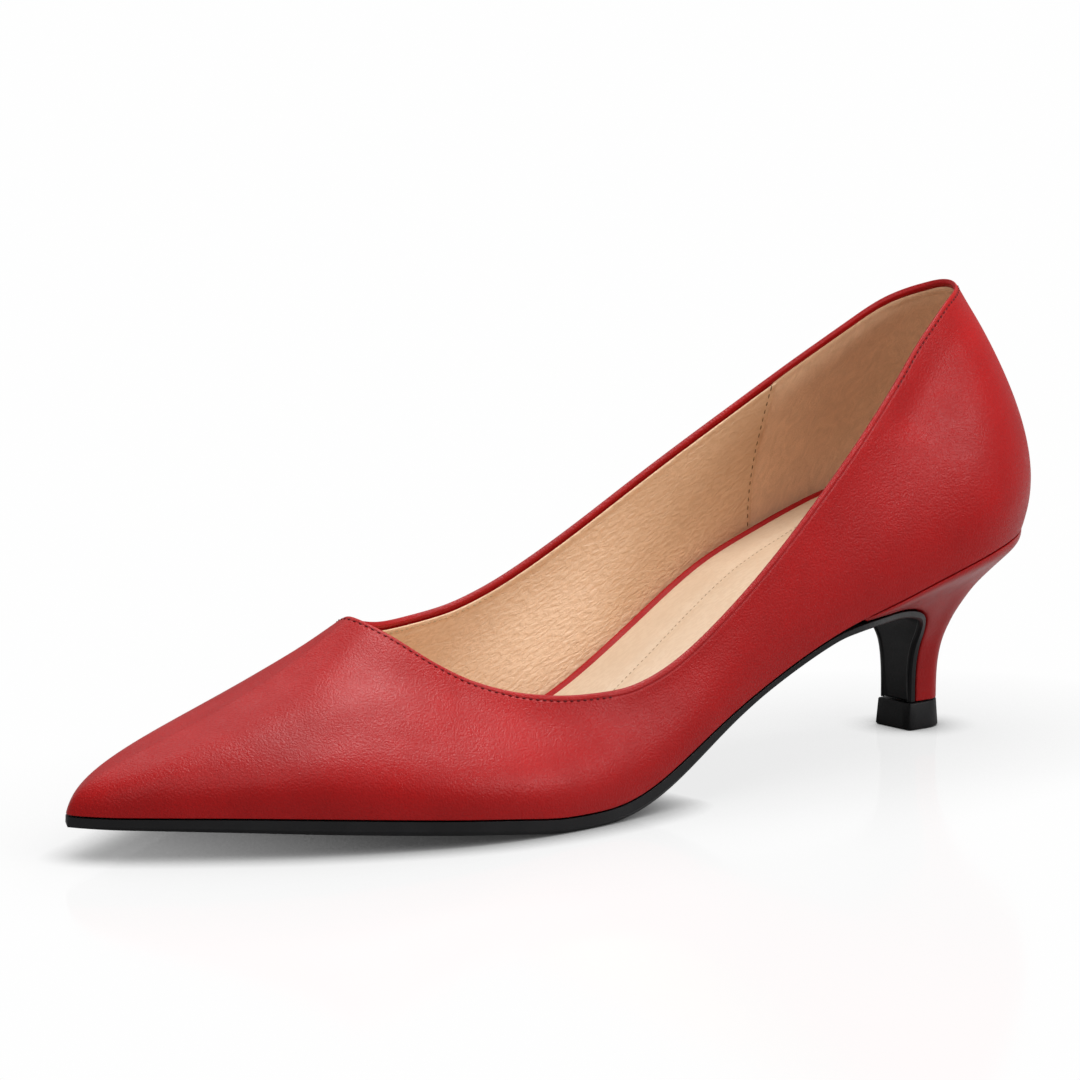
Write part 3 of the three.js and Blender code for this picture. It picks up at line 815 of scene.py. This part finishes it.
class PUMP_OT_lining(bpy.types.Operator):
    """Makes the lining of the front and the quarters, and the heel grip behind it"""

    bl_idname = "pump.lining"
    bl_label = "Linings"

    def execute(self, context):
        size = sizes()
        front = WALL + size.lining_proud
        lining, edge_line = self.shell("quarter_lining", front, size.lining_thickness, True)
        settle(
            lining, lining_leather("lining_leather", colours().lining, 0.1 * MM, 0.5),
        )
        depth = front - size.lining_thickness - 0.03 * MM
        grip = self.shell("heel_grip", depth, size.grip_thickness, False)[0]
        settle(grip, suede("grip_leather", colours().grip))

        surface = surface_of(lining, inside=True)
        sew("lining_edge_stitches", sewing_thread("lining_thread", colours().lining_thread),
            [(edge_line, surface, True, lambda place: place.x > LINING_STITCHES)],
            0.8 * size.thread)
        rows = []
        for side in (1, -1):
            line = seam_line(surface, side, size.seam_margin)
            rows.append((line, surface, False, everywhere))
        sew("lining_stitches", sewing_thread("tan_thread", colours().tan_thread),
            rows, 0.8 * size.thread, size.seam_pitch)
        return {"FINISHED"}

    def shell(self, name, depth, thickness, in_front):
        """One lining: the inner rings of the wall, laid at a depth and cut at the seam.

        Gives the piece and the line for the stitches below its top edge.
        """
        size = sizes()
        piece = ringed_upper(name)
        start = size.fold_depth + 0.2 * MM
        cut_rings(piece, LINING_CUTS)
        lay_rings(piece, [
            (start, depth - 0.1 * MM), (start + 0.4 * MM, depth + 0.08 * MM),
            (start + 1.1 * MM, depth + 0.06 * MM), (start + 1.7 * MM, depth - 0.1 * MM),
            (start + 2.5 * MM, depth),
        ], WALL)
        edge_line = line_beside(piece, SECOND_INNER, SECOND_INNER + 3, 0.8 * MM)
        with editing(piece) as bm:
            rings = rings_of(bm)
            last = INNER_FOOT + LINING_CUTS
            lower = [vert for ring in rings[SECOND_INNER + LINING_CUTS:last] for vert in ring]
            moves = [(vert, vert.normal * (depth - WALL)) for vert in lower]
            for vert, move in moves:
                vert.co += move
            bmesh.update_edit_mesh(piece.data)
        with editing(piece, "FACE") as bm:
            rings = rings_of(bm)
            shown = {v.index for ring in rings[SECOND_INNER:last] for v in ring}
            choose(piece, [f for f in bm.faces if any(v.index not in shown for v in f.verts)])
            bpy.ops.mesh.delete(type="FACE")
        cut_at_seam(piece, 0 if in_front else size.lap_width, in_front)
        finish_with(piece, "SOLIDIFY", thickness=thickness, offset=-1)
        smooth_surface(piece)
        press_hollows(piece)
        return piece, edge_line


def edge_of_top(piece, steepest):
    """The outline of the faces on top of a piece, as a closed line from its back."""
    with editing(piece, "FACE") as bm:
        tops = {f for f in bm.faces if f.normal.z > steepest}
        rim = [e for e in bm.edges if sum(f in tops for f in e.link_faces) == 1]
        ahead = {}
        for edge in rim:
            for vert in edge.verts:
                ahead.setdefault(vert.index, []).append(edge.other_vert(vert).index)
        place = {v.index: v.co.copy() for edge in rim for v in edge.verts}
    line = [min(place, key=lambda index: place[index].x)]
    while True:
        step = next((index for index in ahead[line[-1]] if index not in line[-2:]), None)
        if step is None or step == line[0]:
            return [place[index] for index in line]
        line.append(step)


def between(places, x):
    """The second number of a list of places at a first number between two of them."""
    for (ahead, first), (behind, second) in zip(places, places[1:]):
        if behind <= x <= ahead:
            return first + (second - first) * (ahead - x) / (ahead - behind)
    raise ValueError(f"{x} lies outside the places")


def sock_channel(surface):
    """The closed line of the sock's stitches, on its surface."""
    right = SOCK_LINE
    left = [(x, 2 * between(SOCK_MIDDLE, x) - y) for x, y in reversed(SOCK_LINE[1:-1])]
    line = []
    for x, y in finer([Vector(place) for place in right + left], 4):
        hit = surface.ray_cast(Vector((x * MM, y * MM, 1)), Vector((0, 0, -1)))[0]
        line.append(hit)
    return line


class PUMP_OT_insole(bpy.types.Operator):
    """Makes the wrapped edge of the insole and the padded sock on it"""

    bl_idname = "pump.insole"
    bl_label = "Insole and sock"

    def execute(self, context):
        size = sizes()
        wrap = copy_of_solid("insole", "insole_wrap")
        quads_of(wrap)
        smooth_surface(wrap)
        settle(wrap, red_leather("insole_leather", 0.04 * MM, 0.6), ["insole"])

        sock = copy_of_solid("sock", "sock_lining")
        quads_of(sock)
        edge = finer(edge_of_top(sock, 0.85), 2)
        self.grid_top(sock)
        smooth_surface(sock)
        channel = sock_channel(surface_of(sock))
        self.pad(sock, edge, channel)
        settle(
            sock, lining_leather("sock_leather", colours().sock, 0.015 * MM, 0.55),
            ["sock"],
        )
        sew("sock_stitches", sewing_thread("pale_thread", colours().pale_thread),
            [(channel, surface_of(sock), True, everywhere)], 0.7 * size.thread)
        return {"FINISHED"}

    def grid_top(self, sock):
        """Cuts the faces that run across the sock, so that its top can be shaped."""
        with editing(sock, "EDGE") as bm:
            choose(sock, [
                edge for edge in bm.edges
                if all(abs(face.normal.z) > 0.85 for face in edge.link_faces)
                and abs(edge.verts[0].co.y - edge.verts[1].co.y) > 3 * MM
            ])
            bpy.ops.mesh.subdivide(number_cuts=11)

    def pad(self, sock, edge, channel):
        """Raises the sock's padding and draws it down at the stitches."""
        near = {}
        for name, line in (("edge", edge), ("channel", finer(channel))):
            near[name] = KDTree(len(line))
            for index, place in enumerate(line):
                near[name].insert((place.x, place.y, 0), index)
            near[name].balance()
        tops = [vert for vert in sock.data.vertices if vert.normal.z > 0.6]
        for vert in tops:
            level = (vert.co.x, vert.co.y, 0)
            inside = near["edge"].find(level)[2]
            aside = near["channel"].find(level)[2]
            vert.co.z += sizes().sock_crown * (1 - math.exp(-((inside / (5 * MM)) ** 2)))
            vert.co.z -= sizes().sock_dent * math.exp(-((aside / (1.3 * MM)) ** 2))


class PUMP_OT_sole(bpy.types.Operator):
    """Makes the black sole with its rounded edge and the panel on the heel's breast"""

    bl_idname = "pump.sole"
    bl_label = "Sole"

    def execute(self, context):
        size = sizes()
        piece = copy_of_solid("outsole", "sole")
        quads_of(piece)
        with editing(piece, "FACE") as bm:
            choose(piece, [
                face for face in bm.faces
                if (face.normal.z < -0.2 or face.normal.x > 0.6)
                and face.calc_center_median().x < WAIST_FRONT
                and self.width(face) > LEAST_PANEL
            ])
            bpy.ops.mesh.inset(thickness=size.sole_bead, depth=0)
            bpy.ops.mesh.inset(thickness=0.25 * MM, depth=-size.panel_sink)
        round_edges(piece, 0.3 * MM, 35)
        smooth_surface(piece)
        settle(piece, black_rubber("sole_black", 0.36), ["outsole"])
        return {"FINISHED"}

    def width(self, face):
        """How far a face reaches across the shoe."""
        across = [vert.co.y for vert in face.verts]
        return max(across) - min(across)


class PUMP_OT_heel(bpy.types.Operator):
    """Makes the covered heel and its top piece"""

    bl_idname = "pump.heel"
    bl_label = "Heel"

    def execute(self, context):
        cover = copy_of_solid("heel", "heel_cover")
        quads_of(cover)
        round_edges(cover, 0.35 * MM, 50)
        smooth_surface(cover)
        settle(cover, red_leather("heel_leather", 0.03 * MM, 0.34), ["heel"])
        cap = copy_of_solid("top_piece", "heel_top_piece")
        quads_of(cap)
        round_edges(cap, 0.25 * MM, 50)
        settle(cap, black_rubber("top_piece_black", 0.45), ["top_piece"])
        return {"FINISHED"}


# Stage

def area_light(name, place, target, size, power):
    """A soft round light that faces a place."""
    light = bpy.data.objects.new(name, bpy.data.lights.new(name, "AREA"))
    light.data.shape = "DISK"
    light.data.size = size
    light.data.energy = power
    light.location = place
    light.rotation_euler = (Vector(target) - Vector(place)).to_track_quat("-Z", "Y").to_euler()
    bpy.context.scene.collection.objects.link(light)


class PUMP_OT_stage(bpy.types.Operator):
    """Makes the floor, the studio light and the camera"""

    bl_idname = "pump.stage"
    bl_label = "Studio"

    def execute(self, context):
        scene = context.scene
        scene.view_settings.view_transform = "Standard"
        bpy.ops.mesh.primitive_circle_add(vertices=64, radius=FLOOR_RADIUS, fill_type="NGON")
        floor = context.object
        floor.name = "floor"
        floor.data.materials.append(self.floor_finish())

        world = bpy.data.worlds.new("studio")
        world.use_nodes = True
        back = world.node_tree.nodes["Background"]
        back.inputs["Color"].default_value = (1, 1, 1, 1)
        back.inputs["Strength"].default_value = WORLD_LIGHT
        scene.world = world
        for light in LIGHTS:
            area_light(*light)

        lens = bpy.data.cameras.new("camera")
        lens.lens = VIEW_LENS
        lens.sensor_width = 36
        camera = bpy.data.objects.new("camera", lens)
        sight = Vector((
            math.sin(VIEW_TURN) * math.cos(VIEW_LIFT), math.cos(VIEW_TURN) * math.cos(VIEW_LIFT),
            math.sin(VIEW_LIFT),
        ))
        camera.location = VIEW_TARGET + sight * VIEW_DISTANCE
        camera.rotation_euler = (-sight).to_track_quat("-Z", "Y").to_euler()
        scene.collection.objects.link(camera)
        scene.camera = camera
        return {"FINISHED"}

    def floor_finish(self):
        """White sheet that glows for the camera, with painted shadow where something stands close over
        it, under a faint gloss. Other rays see a plain grey floor.
        """
        look = Shading("studio_floor", Roughness=0.9)
        look.surface.inputs["Base Color"].default_value = (*colours().floor, 1)
        # Painted shadow: the glow is dimmed where the space above is closed in, near and wide, in
        # place of a cast shadow
        near = look.open_share(NEAR_SHADE_REACH)
        wide = look.open_share(WIDE_SHADE_REACH)
        painted_glow = look.sum_of(
            look.ranged(near, 0.16, 1.0, 0.04, FLOOR_GLOW), look.ranged(wide, 0.5, 1.0, 0.83, 1.0),
            "MULTIPLY",
        )
        glow = look.add("ShaderNodeEmission", {"Strength": painted_glow})
        gloss = look.add("ShaderNodeBsdfAnisotropic", {"Roughness": 0.1})
        seen = look.add("ShaderNodeMixShader", {
            0: FLOOR_GLOSS, 1: glow.outputs[0], 2: gloss.outputs[0],
        })
        path = look.add("ShaderNodeLightPath")
        either = look.add("ShaderNodeMixShader", {
            0: path.outputs["Is Camera Ray"], 1: look.surface.outputs[0], 2: seen.outputs[0],
        })
        output = next(n for n in look.tree.nodes if n.type == "OUTPUT_MATERIAL")
        look.tree.links.new(either.outputs[0], output.inputs["Surface"])
        return look.material


OPERATORS = (
    PUMP_OT_upper, PUMP_OT_lining, PUMP_OT_insole, PUMP_OT_sole, PUMP_OT_heel, PUMP_OT_stage,
)


class PUMP_PT_panel(bpy.types.Panel):
    """Lists the pieces and their sizes and colours"""

    bl_label = "Pointed Pump"
    bl_idname = "PUMP_PT_panel"
    bl_space_type = "VIEW_3D"
    bl_region_type = "UI"
    bl_category = "Pump"

    def draw(self, context):
        for operator in OPERATORS:
            self.layout.operator(operator.bl_idname)
        for group in (context.scene.pump_sizes, context.scene.pump_colours):
            for name in group.bl_rna.properties.keys():
                if name not in ("name", "rna_type"):
                    self.layout.prop(group, name)


CLASSES = (PumpSizes, PumpColours, *OPERATORS, PUMP_PT_panel)


def register():
    """Makes the settings, operators and panel known."""
    for item in CLASSES:
        bpy.utils.register_class(item)
    bpy.types.Scene.pump_sizes = PointerProperty(type=PumpSizes)
    bpy.types.Scene.pump_colours = PointerProperty(type=PumpColours)


def unregister():
    """Takes them out again."""
    del bpy.types.Scene.pump_colours
    del bpy.types.Scene.pump_sizes
    for item in reversed(CLASSES):
        bpy.utils.unregister_class(item)


def main():
    """Makes the whole shoe and its stage."""
    register()
    for operator in OPERATORS:
        group, name = operator.bl_idname.split(".")
        getattr(getattr(bpy.ops, group), name)()


if __name__ == "__main__":
    main()
